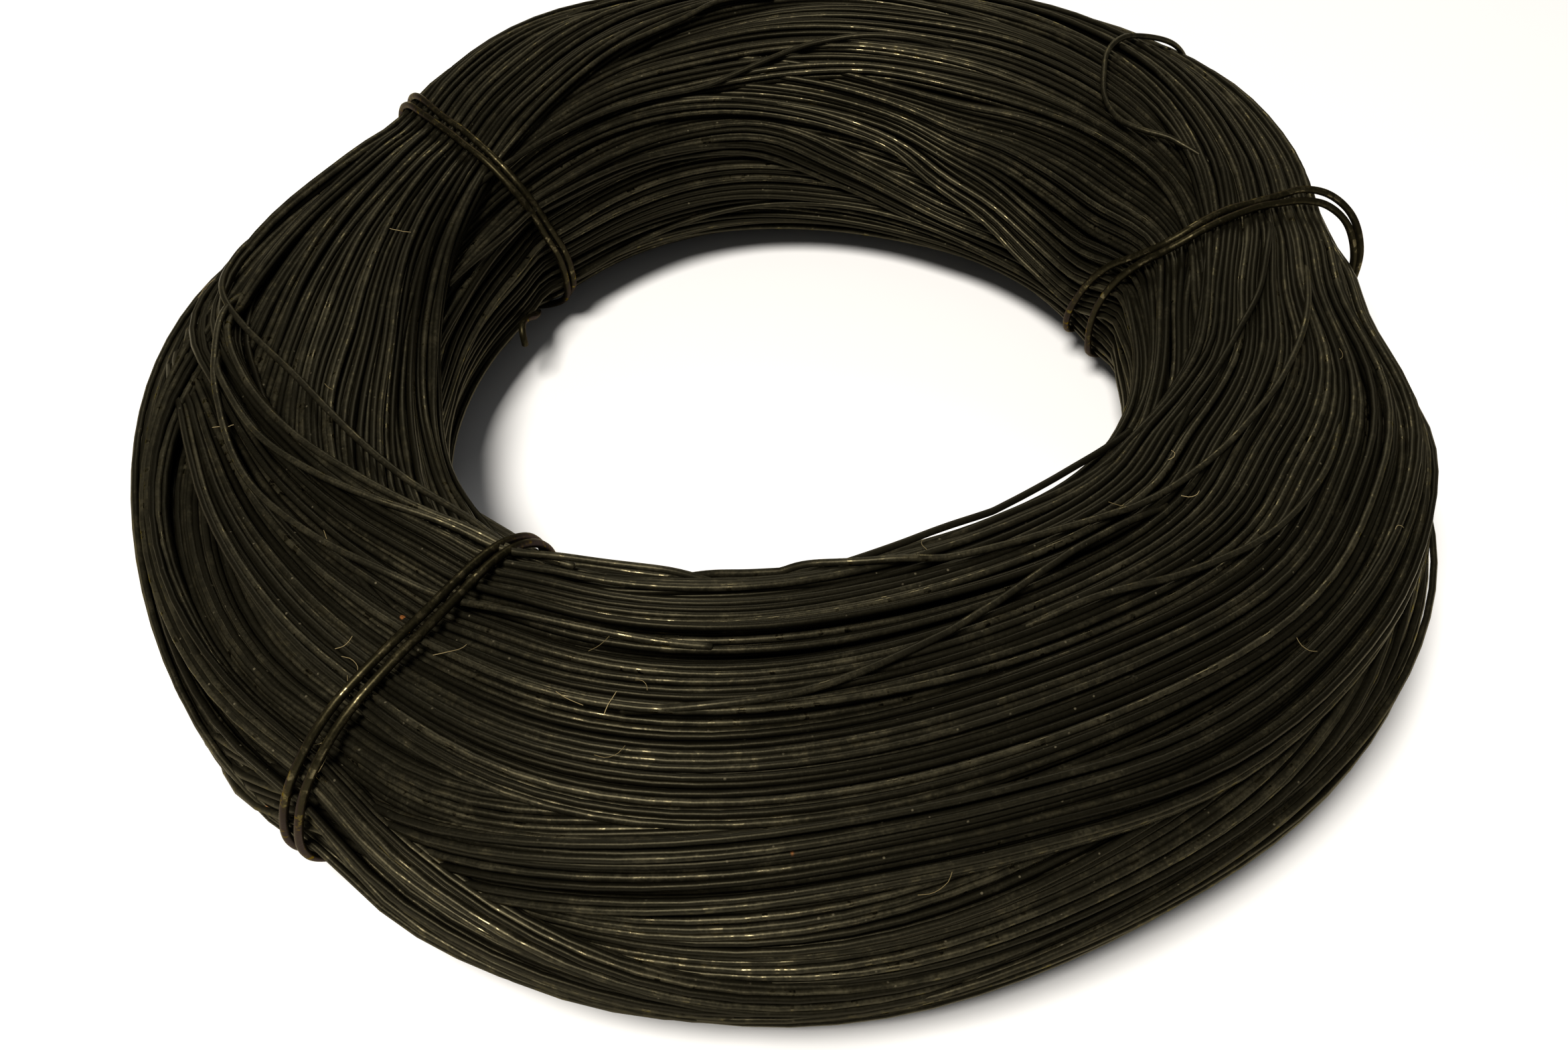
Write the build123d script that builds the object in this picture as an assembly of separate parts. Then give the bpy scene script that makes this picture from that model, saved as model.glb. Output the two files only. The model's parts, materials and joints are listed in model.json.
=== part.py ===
from build123d import *
from math import cos, exp, radians, sin, sqrt
import os

os.makedirs("parts", exist_ok=True)

# A coil of soft annealed binding wire lying flat, held by three wire ties.
# Millimetres, +Z up, the coil standing on z = 0 with the middle of its box on Z.

# Wire
wire_diameter = 1.6
tie_wire_diameter = 1.9

# Coil, as wound and pressed together, at its middle sizes
coil_outer_diameter = 320.0
coil_bore_diameter = 162.0
coil_height = 64.0
bore_wall_height = 22.0
rim_wall_height = 20.0
crown_width = 26.0
haunch_inset = 5.5
haunch_drop = 12.0
coil_middle_x = 1.9
coil_middle_y = 1.4

# How the loose turns swell and narrow round the coil: for each wave its lobes, how far they stand out
# and the degrees from +X where one of them stands
oval_lobes = 2
oval_swell = 6.9
oval_angle = 80.7
square_lobes = 4
square_swell = 1.3
square_angle = 39.5
pentagon_lobes = 5
pentagon_swell = 2.6
pentagon_angle = 330.0
height_lobes = 2
height_swell = 3.1
height_angle = 75.0

# How far the bore lies to one side of the coil's middle, and towards which angle
bore_shift = 4.95
bore_shift_angle = 115.6

# Ridges that the turns make on both ends
haunch_ridges = 3
crown_ridge_width = 6.5
ridge_depth_in_wires = 0.75

# Ties, placed round the coil in degrees from +X
tie_angles = {"tie_right": 16.0, "tie_back_left": 142.0, "tie_front_left": 235.0}
right_tie_pull = 1.2
back_left_tie_pull = 6.2
tie_pull_angle = 20.0
right_tie_slack = 4.5
front_left_tie_slack = 1.0
tie_turns = 2
tie_seat_radius = 20.0
tie_seat_depth = 2.7
tie_clearance = 0.2
tie_wire_sides = 12
tie_end_overlap = 14.0

# Degrees between the sections that shape the coil, and how far they pass the bore wall and the floor
section_angle = 10
trim = 0.5
half_turn = 180

# Worked out from the sizes above
bore_radius = coil_bore_diameter / 2
ridge_depth = ridge_depth_in_wires * wire_diameter
tie_wire_radius = tie_wire_diameter / 2
strand_pitch = tie_wire_diameter + tie_clearance
tie_pull = {"tie_right": right_tie_pull, "tie_back_left": back_left_tie_pull}
tie_slack = {"tie_right": right_tie_slack, "tie_front_left": front_left_tie_slack}
coil_middle = Pos(coil_middle_x, coil_middle_y, 0)
bore_middle = Rot(0, 0, bore_shift_angle) * Pos(bore_shift, 0, 0)


def wave(angle, lobes, swell, place):
    """How far a wave round the coil stands out at an angle. One of its lobes is at place."""
    return swell * cos(radians(lobes * (angle - place)))


def rim_radius(angle):
    """From the coil's middle to its rim, which the ties pull in."""
    radius = coil_outer_diameter / 2 + wave(angle, oval_lobes, oval_swell, oval_angle)
    radius += wave(angle, square_lobes, square_swell, square_angle)
    radius += wave(angle, pentagon_lobes, pentagon_swell, pentagon_angle)
    for name, pull in tie_pull.items():
        away = (angle - tie_angles[name] + half_turn) % (2 * half_turn) - half_turn
        radius -= pull * exp(-(away / tie_pull_angle) ** 2)
    return radius


def bore_wall_radius(angle):
    """From the coil's middle to the wall of its bore, which is round but lies to one side."""
    across = bore_shift * sin(radians(angle - bore_shift_angle))
    along = bore_shift * cos(radians(angle - bore_shift_angle))
    return along + sqrt(bore_radius ** 2 - across ** 2)


def inward(start, end):
    """The direction into the section from its side that runs from start to end."""
    along = (end - start).normalized()
    return Vector(along.Y, -along.X)


def section_corners(angle, inset=0.0):
    """The section's corners, up the bore wall and round, with every side moved in by inset."""
    bore, rim = bore_wall_radius(angle), rim_radius(angle)
    height = coil_height + wave(angle, height_lobes, height_swell, height_angle)
    crown = (bore + rim) / 2
    outer_half = [
        Vector(crown + crown_width / 2, height),
        Vector(rim - haunch_inset, height - haunch_drop),
        Vector(rim, height / 2 + rim_wall_height / 2),
        Vector(rim, height / 2 - rim_wall_height / 2),
        Vector(rim - haunch_inset, haunch_drop),
        Vector(crown + crown_width / 2, 0),
    ]
    bore_half = [
        Vector(crown - crown_width / 2, 0),
        Vector(bore + haunch_inset, haunch_drop),
        Vector(bore, coil_height / 2 - bore_wall_height / 2),
        Vector(bore, coil_height / 2 + bore_wall_height / 2),
        Vector(bore + haunch_inset, height - haunch_drop),
        Vector(crown - crown_width / 2, height),
    ]
    corners = bore_half[2:] + outer_half + bore_half[:2]
    moved = []
    for index, corner in enumerate(corners):
        first = inward(corners[index - 1], corner)
        second = inward(corner, corners[(index + 1) % len(corners)])
        mitre = (first + second).normalized()
        moved.append(corner + mitre * (inset / mitre.dot(first)))
    return moved


def ridges(start, end, count):
    """Valleys and crests of the turns along one side of the section, after its start."""
    step = (end - start) / count
    points = []
    for index in range(count):
        points.append(start + step * (index + 0.5) + inward(start, end) * ridge_depth)
        points.append(start + step * (index + 1))
    return points


def ridged_end(haunch, crown_start, crown_end, last_haunch):
    """One end of the section: ridges on both haunches and a flat ring in the crown."""
    ring = (crown_end - crown_start).normalized() * crown_ridge_width
    points = [haunch] + ridges(haunch, crown_start, haunch_ridges)
    points += ridges(crown_start, crown_start + ring, 1)
    points.append(crown_end - ring)
    points += ridges(crown_end - ring, crown_end, 1)
    return points + ridges(crown_end, last_haunch, haunch_ridges)


def section(angle):
    """The coil's section at one angle, a little too long at the bore and below, where it is trimmed."""
    corners = section_corners(angle)
    wall = []
    for corner, haunch in ((corners[0], corners[11]), (corners[1], corners[2])):
        wall.append(corner + (corner - haunch) * (trim / haunch_inset))
    lower_end = [corner - Vector(0, trim) for corner in corners[9:11]]
    outline = wall + ridged_end(*corners[2:6]) + corners[6:8] + ridged_end(corners[8], *lower_end, corners[11])
    return Rot(0, 0, angle) * make_face(Plane.XZ * Polyline(*outline, close=True))


def tie_seat(angle):
    """The rounded hollow that a tie presses into the turns, all the way round the section."""
    corners = section_corners(angle, tie_seat_depth - tie_seat_radius)
    start = (corners[0] + corners[1]) / 2
    route = Polyline(*[(point.X, 0, point.Y) for point in [start, *corners[1:], corners[0], start]])
    ring = sweep(Plane(route @ 0, z_dir=route % 0) * Circle(tie_seat_radius), route,
                 transition=Transition.RIGHT)
    return Rot(0, 0, angle) * ring


def wire_coil():
    """All the turns as one ring, lofted in two halves, with its bore, and hollowed where the ties hold it."""
    half = range(0, half_turn + 1, section_angle)
    coil = loft([section(angle) for angle in half]) + loft([section(angle + half_turn) for angle in half])
    coil -= bore_middle * Cylinder(bore_radius, 3 * coil_height)
    coil = split(coil, Plane.XY, keep=Keep.TOP)
    for angle in tie_angles.values():
        coil -= tie_seat(angle)
    return coil_middle * coil


def tie_route(angle, slack):
    """Corners of a tie's wire: up the bore wall and twice round the section, side by side.

    Its two ends lie flat against the wall, one on each side of the strand between them."""
    corners = section_corners(angle, tie_seat_depth - tie_clearance - tie_wire_radius)
    for loose in (5, 6):
        away = inward(corners[loose - 1], corners[loose]) + inward(corners[loose], corners[loose + 1])
        corners[loose] -= away.normalized() * slack
    wall = corners[0].X
    first_side = -strand_pitch * tie_turns / 2
    route = [(wall, first_side, coil_height / 2 - tie_end_overlap / 2)]
    for turn in range(tie_turns):
        side = first_side + turn * strand_pitch
        next_side = side + strand_pitch
        route += [(corner.X, side, corner.Y) for corner in corners[1:10]]
        route += [(corner.X, next_side, corner.Y) for corner in corners[10:] + corners[:1]]
    return route + [(wall, next_side, coil_height / 2 + tie_end_overlap / 2)]


def tie(angle, slack):
    """One wire tie as a single bent wire, set in its seat. Its round section has a few flat sides."""
    path = Polyline(*tie_route(angle, slack))
    wire_section = Plane(path @ 0, z_dir=path % 0) * RegularPolygon(tie_wire_radius, tie_wire_sides)
    return coil_middle * Rot(0, 0, angle) * sweep(wire_section, path, transition=Transition.RIGHT)


export_step(wire_coil(), "parts/wire_coil.step")
for name, angle in tie_angles.items():
    export_step(tie(angle, tie_slack.get(name, 0)), f"parts/{name}.step")
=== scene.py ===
import bpy
import json
import math
import numpy as np
from mathutils import Matrix, Vector


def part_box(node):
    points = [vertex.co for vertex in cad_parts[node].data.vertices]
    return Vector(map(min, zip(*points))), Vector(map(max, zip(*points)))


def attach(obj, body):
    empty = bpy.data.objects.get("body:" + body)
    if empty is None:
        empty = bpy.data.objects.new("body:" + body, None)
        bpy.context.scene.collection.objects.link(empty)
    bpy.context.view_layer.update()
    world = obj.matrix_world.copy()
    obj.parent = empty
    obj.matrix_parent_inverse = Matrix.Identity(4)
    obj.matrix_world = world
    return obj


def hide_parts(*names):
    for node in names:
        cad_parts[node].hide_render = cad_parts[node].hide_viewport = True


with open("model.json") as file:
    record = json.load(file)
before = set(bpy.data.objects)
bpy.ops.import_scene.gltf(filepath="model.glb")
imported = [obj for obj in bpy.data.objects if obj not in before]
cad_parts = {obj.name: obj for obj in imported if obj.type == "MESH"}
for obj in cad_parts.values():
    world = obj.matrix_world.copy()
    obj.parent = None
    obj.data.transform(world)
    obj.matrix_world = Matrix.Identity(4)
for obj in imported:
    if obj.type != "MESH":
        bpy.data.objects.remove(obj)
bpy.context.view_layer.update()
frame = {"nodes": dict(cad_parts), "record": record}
boreMount = next(mount for mount in frame["record"]["mounts"] if mount["name"] == "bore")
mm = 0.001  # in metres
print("frame loaded:", sorted(frame["nodes"]))


def colour(r, g, b):
    # Opaque colour from its linear parts.
    return (r, g, b, 1.0)


# The coil's outline: lengths in mm, angles in degrees from +X, counter-clockwise from above.
# Waves are (lobes, height, angle of a lobe). The bore's first wave moves its middle to one side.
coilShape = {
    "outerRadius": 160,
    "outerWaves": [(2, 6.9, 80.7), (3, 0.9, 301), (4, 1.3, 39.5), (5, 2.6, 330)],
    "boreRadius": boreMount["dims"]["r_mm"],
    "boreWaves": [(1, 4.95, 115.6), (2, 4.3, 29), (3, 2.5, 349.6)],
    "height": 64,
    "heightWaves": [(1, 1.2, 3.4), (2, 3.1, 75)],
    "roundness": 2.33,  # exponent of the section: 2 is an ellipse, more is squarer
    # How deep each tie pulls the rim in, and how many degrees to each side.
    "squeeze": {"tie_right": (1.2, 18), "tie_back_left": (6.2, 20), "tie_front_left": (0.8, 9)},
    # Small swells of the rim: (angle, height, reach), below 0 for a dent.
    "swells": [(1, -4.6, 10), (42, 2.4, 14), (70, -2.4, 9), (119, 2.2, 12), (151, -1.6, 8),
               (193, -0.8, 12), (223, 2.3, 15), (272, 0.9, 14), (344, 1.5, 11)],
    "seatDepth": 1.9,  # how deep a tie lies in the turns, all round the section
    "seatReach": 5.0,  # degrees to each side
    "wire": 1.6,
    "steps": 112,  # stations round the coil
    "sides": 6,  # of the tube of a turn
    "settle": 0.5,  # how far the turns' crests lie under the outline on average
    "finePoints": 4001,  # that measure the section's length
    "slopeProbe": 0.004,  # share to each side that gives the section's slope
}
wireRadius = coilShape["wire"] / 2
# The coil's middle is the bore's mount less the bore's shift.
boreShift, boreAngle = coilShape["boreWaves"][0][1], math.radians(coilShape["boreWaves"][0][2])
coilMiddle = np.array([boreMount["pos_m"][0] / mm - boreShift * math.cos(boreAngle),
                       boreMount["pos_m"][1] / mm - boreShift * math.sin(boreAngle), 0])


def bearing(node):
    # Angle of the middle of a CAD node's box, seen from the coil's middle, in degrees.
    low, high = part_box(node)
    x, y = (low.x + high.x) / 2 / mm - coilMiddle[0], (low.y + high.y) / 2 / mm - coilMiddle[1]
    return math.degrees(math.atan2(y, x)) % 360


tieAngles = {node: bearing(node) for node in coilShape["squeeze"]}
print("ties at", {node: round(angle, 1) for node, angle in tieAngles.items()})


def waves(phi, parts):
    # Sum of height * cos(lobes * (phi - place)).
    return sum(size * np.cos(lobes * (phi - np.radians(place))) for lobes, size, place in parts)


def bell(phi, place, reach):
    # exp(-(angle / reach)^2), with the angle counted from place either way.
    away = (phi - np.radians(place) + np.pi) % (2 * np.pi) - np.pi
    return np.exp(-(away / np.radians(reach)) ** 2)


def seat(phi):
    # Depth to which the ties press into the turns at phi: one bell for each tie.
    pressed = sum(bell(phi, place, coilShape["seatReach"]) for place in tieAngles.values())
    return coilShape["seatDepth"] * pressed


def sectionSize(phi):
    # Middle radius, half width, middle height and half height of the section at phi. Its outer radius is
    # mean + waves + swells - squeeze - seats, and the other sides are made likewise.
    pulls = coilShape["squeeze"].items()
    squeezed = sum(depth * bell(phi, tieAngles[node], reach) for node, (depth, reach) in pulls)
    swollen = sum(height * bell(phi, place, reach) for place, height, reach in coilShape["swells"])
    outer = coilShape["outerRadius"] + waves(phi, coilShape["outerWaves"]) + swollen - squeezed - seat(phi)
    inner = coilShape["boreRadius"] + waves(phi, coilShape["boreWaves"]) + seat(phi)
    top = coilShape["height"] + waves(phi, coilShape["heightWaves"]) - seat(phi)
    low = seat(phi)
    return (outer + inner) / 2, (outer - inner) / 2, (top + low) / 2, (top - low) / 2


def sectionTable():
    # Superellipse x = -sgn(cos t)|cos t|^(2/n), z = sgn(sin t)|sin t|^(2/n), by the share of its length.
    t = np.linspace(0, 2 * np.pi, coilShape["finePoints"])
    power = 2 / coilShape["roundness"]
    across = -np.sign(np.cos(t)) * np.abs(np.cos(t)) ** power
    up = np.sign(np.sin(t)) * np.abs(np.sin(t)) ** power
    wide, high = (coilShape["outerRadius"] - coilShape["boreRadius"]) / 2, coilShape["height"] / 2
    length = np.concatenate([[0], np.cumsum(np.hypot(np.diff(across) * wide, np.diff(up) * high))])
    return length / length[-1], across, up, length[-1]


shareTable, acrossTable, upTable, meanGirth = sectionTable()
percentLength = meanGirth / 100  # mm round the section
degreeLength = np.radians(1) * (coilShape["outerRadius"] + coilShape["boreRadius"]) / 2  # mm round the coil


def onCoil(phi, share, lift, radius):
    # Point = surface at phi and share + lift * normal, and that normal. Share 0 is the bore's middle, 0.25
    # the crown, 0.5 the rim and 0.75 the underside. Nothing sinks into the floor: z is at least radius.
    middle, wide, centre, high = sectionSize(phi)

    def section(at):
        # The superellipse's two coordinates at a share of its length.
        return np.interp(at % 1, shareTable, acrossTable), np.interp(at % 1, shareTable, upTable)

    across, up = section(share)
    acrossNext, upNext = section(share + coilShape["slopeProbe"])
    acrossLast, upLast = section(share - coilShape["slopeProbe"])
    runR, runZ = wide * (acrossNext - acrossLast), high * (upNext - upLast)
    size = np.hypot(runR, runZ)
    normalR, normalZ = -runZ / size, runR / size
    r = middle + wide * across + normalR * lift
    z = np.maximum(centre + high * up + normalZ * lift, radius)
    point = np.stack([r * np.cos(phi), r * np.sin(phi), z], -1) + coilMiddle
    return point, np.stack([normalR * np.cos(phi), normalR * np.sin(phi), normalZ], -1)


def smoothLine(knots, values, at):
    # Cubic Hermite curve through (knot, value), with each slope from the two neighbours.
    knots, values = np.asarray(knots, float), np.asarray(values, float)
    slopes = np.gradient(values, knots)
    k = np.clip(np.searchsorted(knots, at) - 1, 0, len(knots) - 2)
    span = knots[k + 1] - knots[k]
    t = (at - knots[k]) / span
    first = (2 * t ** 3 - 3 * t ** 2 + 1) * values[k] + (t ** 3 - 2 * t ** 2 + t) * span * slopes[k]
    return first + (3 * t ** 2 - 2 * t ** 3) * values[k + 1] + (t ** 3 - t ** 2) * span * slopes[k + 1]


def smoothRing(angles, values, at):
    # The same curve closed round the coil, with angles in degrees and at in radians.
    angles = np.radians(np.asarray(angles, float))
    angles = np.concatenate([angles - 2 * np.pi, angles, angles + 2 * np.pi])
    return smoothLine(angles, np.tile(values, 3), at % (2 * np.pi))


# Each sweep is a band of turns: at each angle its two edges as percent of the way round the section.
# They are laid in this order, so a later one lies over an earlier one.
sweeps = {
    "ground_turns": {"layers": 1, "edges": {0: (0, 100), 180: (0, 100)}},
    "second_turns": {"layers": 1, "edges": {0: (0.3, 100.3), 180: (0.3, 100.3)}},
    "bore_sweep": {
        "layers": 2,
        "edges": {0: (-9, 6), 30: (-9, 4), 60: (-9, 4.5), 80: (-9, 7), 100: (-8, 9.5), 130: (-8, 10),
                  150: (-8, 9.5), 170: (-8, 8), 185: (-8, 6), 200: (-7, 8), 230: (-6, 12),
                  260: (-6, 12.5), 300: (-5, 12), 325: (-5, 11), 340: (-7, 8)},
    },
    "bright_sweep": {
        "layers": 1,
        "edges": {0: (-3, 3), 40: (-5, 0), 60: (-5, 0), 80: (-1, 4.5), 95: (3, 8), 110: (4.5, 8.5),
                  130: (5.5, 8.8), 150: (6.5, 9.2), 170: (5, 9), 220: (4, 9), 300: (4, 10),
                  330: (1, 8)},
    },
    "back_sweep": {
        "layers": 2,
        "edges": {0: (2, 14), 15: (0, 19), 30: (-4, 17.5), 40: (-3, 16.5), 50: (-0.5, 15),
                  60: (1.5, 13.5), 70: (4.5, 13.5), 80: (6.2, 14.5), 90: (7.6, 16), 100: (9, 17.5),
                  110: (10, 19), 130: (11, 20), 160: (11, 21), 200: (8, 21), 250: (5, 20), 300: (4, 18),
                  330: (3, 14), 345: (2.5, 13)},
    },
    "crown_sweep": {
        "layers": 2,
        "edges": {0: (14, 24), 20: (17, 25), 38: (15.5, 24), 50: (14.5, 25), 60: (14, 26),
                  75: (13.8, 26), 90: (12.8, 26), 105: (12.3, 24), 120: (13, 22.5), 138: (13.5, 21.5),
                  160: (12.5, 23), 200: (12, 24), 240: (14, 26), 300: (14, 28)},
    },
    "keel_sweep": {
        "layers": 2,
        "edges": {0: (38, 46), 30: (42, 50), 60: (45, 56), 120: (52, 64), 180: (54, 66), 215: (50, 60),
                  236: (46.5, 54), 250: (44.3, 53), 265: (42, 52), 280: (40.5, 51.5), 290: (39.5, 51),
                  305: (37.8, 50), 315: (36.5, 47.5), 325: (36, 45), 335: (36, 43.8),
                  345: (36.8, 43.5)},
    },
    "left_sweep": {
        "layers": 2,
        "edges": {0: (18, 44), 30: (24, 45), 60: (29, 46), 85: (28, 47), 100: (24.5, 45),
                  115: (20.5, 42), 125: (18, 39.5), 135: (16.3, 37.5), 145: (14.3, 35.5), 155: (12, 34),
                  165: (9.4, 33), 175: (6.7, 33), 185: (4.4, 34.5), 192: (3.4, 37), 200: (3.2, 40),
                  208: (4.4, 41.5), 218: (7, 42.5), 232: (10.5, 43), 245: (12, 42), 260: (12.3, 38),
                  280: (12, 36), 300: (12, 36), 320: (11.5, 37), 340: (13, 40)},
    },
    "front_sweep": {
        "layers": 2,
        "edges": {0: (15.2, 37), 10: (18, 38), 20: (20.5, 39), 30: (22.3, 40), 45: (25.5, 42),
                  60: (28.5, 44), 90: (33, 48), 120: (37, 51), 150: (37, 51), 165: (35.7, 48),
                  175: (33.5, 44.5), 185: (30.3, 40), 192: (27.5, 36), 200: (24.3, 34),
                  210: (20.3, 33.5), 220: (17, 33.5), 232: (14, 34.5), 250: (13, 35.5),
                  275: (12.5, 34.5), 300: (12, 34.7), 320: (11, 36), 333: (9.3, 36.2),
                  340: (10.2, 36.7), 350: (12.7, 37)},
    },
    "rim_sweep": {
        "layers": 2,
        "edges": {0: (41, 49), 60: (49, 58), 120: (56, 68), 180: (60, 72), 200: (56, 67), 216: (50, 59),
                  225: (46.5, 54), 236: (43.3, 49), 245: (40.2, 46.2), 255: (37.5, 43.5),
                  265: (35.7, 41.7), 275: (34.9, 40.7), 285: (35.2, 41), 300: (36.6, 42.3),
                  320: (36.8, 42.3), 340: (38, 44)},
    },
    "shoulder_sweep": {
        "layers": 2,
        "edges": {0: (46, 56), 90: (44, 54), 140: (33, 43.5), 165: (30.3, 43), 175: (30.2, 43.5),
                  185: (32, 44.5), 192: (34.4, 45), 200: (37, 45.5), 208: (39, 46), 220: (40, 46.5),
                  232: (40.5, 47.5), 245: (43, 51), 270: (49, 58), 310: (50, 60)},
    },
    "under_sweep": {
        "layers": 1,
        "edges": {0: (70, 86), 70: (63, 82), 150: (74, 90), 220: (66, 85), 290: (73, 92)},
    },
    "outer_sweep": {
        "layers": 2,
        "edges": {0: (50, 66), 60: (56, 72), 120: (55, 72), 150: (47, 64), 175: (42, 58),
                  190: (42.5, 58.5), 205: (44.5, 60), 220: (48, 64), 240: (54, 70), 300: (49, 66)},
    },
    "lower_bore_sweep": {
        "layers": 1,
        "edges": {0: (86, 95), 80: (84, 95), 160: (88, 97), 240: (83, 95), 320: (87, 96)},
    },
}
lay = {
    "spacing": 1.68,  # mm from turn to turn where a layer is widest
    "jitter": 0.16,  # unevenness of that spacing
    "bunching": 0.05,  # how strongly groups of turns draw together
    "wander": 0.16,  # slow drift of each turn, in wires
    "loners": 0.05,  # share of turns that cross their neighbours
    "lonerWander": 1.8,  # their drift, in wires
    "stiffness": 4.2,  # stations over which a turn's height is evened out
    "rise": 0.9,  # mm by which a turn may stand over the coil's surface
    "hollow": 5.0,  # mm over which hollows between the sweeps grow shallower
    "tuck": 2.6,  # cells over which the surface evens out under a sweep's edge
    "shuffle": 0.8,  # how far the turns of a layer are laid in random order; 1 reaches the next layer
    "bunches": (5, 9, 14, 22, 31),  # groups of turns round the section
    "bunchLobes": (1, 2, 3),  # waves of each group round the coil
    "wanderLobes": 6,  # waves of a turn's drift round the coil
    "nesting": 0.97,  # height of one turn on another, in wires
    "steadying": 0.5,  # how far a turn follows the highest of three stations next to each other
    "levelReach": 1.6,  # stations over which the surface evens out
    "depthReach": 1.2,  # stations over which the turns' eased heights even out
    "cells": 144,  # round the section
    "fineCells": 1000,  # round the section, to tell which turns show
    "shownStations": 3,  # at which a turn has to show
    "seed": 41,
}
dice = np.random.default_rng(lay["seed"])


def layPlaces(phi):
    # Where every turn runs: place = low + part * (high - low), drawn together in groups by waves over the
    # place, then moved by a slow drift of its own, the sum of size * cos(lobes * phi + start).
    rows, names, ranks = [], [], []
    for order, (name, sweep) in enumerate(sweeps.items()):
        angles = sorted(sweep["edges"])
        low = smoothRing(angles, [sweep["edges"][a][0] / 100 for a in angles], phi)
        high = smoothRing(angles, [sweep["edges"][a][1] / 100 for a in angles], phi)
        count = int(round((high - low).max() * meanGirth / lay["spacing"]))
        for layer in range(sweep["layers"]):
            uneven = dice.uniform(-lay["jitter"], lay["jitter"], count)
            part = (np.arange(count) + 0.5 * (layer % 2) + uneven) / count
            rows.append(low + part[:, None] * (high - low))
            names += [name] * count
            ranks.append(order + (layer + dice.uniform(0, lay["shuffle"], count)) / sweep["layers"])
    places, ranks = np.concatenate(rows), np.concatenate(ranks)
    for across in lay["bunches"]:
        for lobes in lay["bunchLobes"]:
            size = lay["bunching"] * dice.normal() / (2 * np.pi * across)
            start = dice.uniform(0, 2 * np.pi)
            places = places + size * np.cos(2 * np.pi * across * places + lobes * phi + start)
    wire = coilShape["wire"] / meanGirth
    loner = dice.uniform(0, 1, len(places)) < lay["loners"]
    reach = np.where(loner, lay["lonerWander"], lay["wander"])[:, None] * wire
    for lobes in range(1, lay["wanderLobes"] + 1):
        size = dice.normal(0, 1, (len(places), 1)) * reach / lobes
        places = places + size * np.cos(lobes * phi + dice.uniform(0, 2 * np.pi, (len(places), 1)))
    return places, names, ranks


def pileUp(places, rank, wire):
    # Height of each turn: it rests on those laid before it, at their height + sqrt(wire^2 - gap^2).
    count, columns = places.shape
    order = np.argsort(rank)
    laid, tops = np.zeros_like(places), np.zeros_like(places)
    heights = np.zeros_like(places)
    for k in range(count):
        here = places[order[k]]
        gap = np.abs(laid[:k] - here) % 1
        gap = np.minimum(gap, 1 - gap) * meanGirth
        rest = np.where(gap < wire, tops[:k] + np.sqrt(np.clip(wire ** 2 - gap ** 2, 0, None)), 0)
        laid[k] = here
        tops[k] = rest.max(0) if k else 0
        heights[order[k]] = tops[k]
    return heights


def spreadOut(values, axis, width):
    # Circular blur with a bell curve of this width in cells, by its Fourier transform.
    n = values.shape[axis]
    wave = np.fft.rfftfreq(n)
    shape = [1] * values.ndim
    shape[axis] = len(wave)
    blur = np.exp(-2 * (np.pi * wave * width) ** 2).reshape(shape)
    return np.fft.irfft(np.fft.rfft(values, axis=axis) * blur, n, axis=axis)


def shifted(values, by):
    # Each closed row read at its station plus by, through its Fourier transform.
    n = values.shape[1]
    wave = np.arange(n // 2 + 1)
    return np.fft.irfft(np.fft.rfft(values, axis=1) * np.exp(2j * np.pi * wave * by / n), n, axis=1)


def seenTurns(places, heights):
    # Which turns show: each turn's round top, sqrt(radius^2 - offset^2), is laid into fine cells round the
    # section, and it shows where no other top stands more than a wire above it.
    cells = lay["fineCells"]
    column = np.broadcast_to(np.arange(places.shape[1]), places.shape)
    top = np.full((cells, places.shape[1]), -np.inf)
    reach = int(wireRadius / meanGirth * cells)
    offsets = np.arange(-reach, reach + 1)
    rise = np.sqrt(np.clip(wireRadius ** 2 - (offsets * meanGirth / cells) ** 2, 0, None))
    first = np.round(places * cells).astype(int)
    for offset, bump in zip(offsets, rise):
        np.maximum.at(top, ((first + offset) % cells, column), heights + bump)
    seen = np.zeros(places.shape, bool)
    for offset, bump in zip(offsets, rise):
        seen |= heights + bump > top[(first + offset) % cells, column] - coilShape["wire"]
    return seen.sum(1) >= lay["shownStations"]


def eased(depth):
    # No more than the rise above the surface, and below it -hollow * log(1 + depth / hollow).
    sunk = np.maximum(-depth, 0) / lay["hollow"]
    return np.clip(depth, 0, lay["rise"]) - lay["hollow"] * np.log1p(sunk)


def layCoil():
    # The turns that show, each with its depth = eased(height - level - settle), which brings the pile's top
    # to the coil's surface. Level and relief, the crests' height over it, are grids of cells and stations.
    phi = np.arange(coilShape["steps"]) * 2 * np.pi / coilShape["steps"]
    places, names, ranks = layPlaces(phi)
    heights = pileUp(places, ranks, coilShape["wire"] * lay["nesting"])
    lifted = np.maximum(heights, np.maximum(np.roll(heights, 1, 1), np.roll(heights, -1, 1)))
    steadied = (1 - lay["steadying"]) * heights + lay["steadying"] * lifted
    heights = spreadOut(steadied, 1, lay["stiffness"])
    cells = lay["cells"]
    top = np.zeros((cells, len(phi)))
    cell = np.round(places * cells).astype(int)
    column = np.broadcast_to(np.arange(len(phi)), cell.shape)
    for side in (-1, 0, 1):
        np.maximum.at(top, ((cell + side) % cells, column), heights)
    level = spreadOut(spreadOut(top, 0, lay["tuck"]), 1, lay["levelReach"])
    depth = heights - level[cell % cells, column] - coilShape["settle"]
    depth = spreadOut(eased(depth), 1, lay["depthReach"])
    relief = eased(top - level - coilShape["settle"])
    shown = seenTurns(places, heights)
    print("turns laid:", len(places), "of which", int(shown.sum()), "show")
    print("highest pile in wires:", round(float(level.max() / coilShape["wire"]), 1))
    return {"phi": phi, "places": places[shown], "depth": depth[shown], "names": np.array(names)[shown],
            "level": level, "relief": relief}


laid = layCoil()


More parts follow.
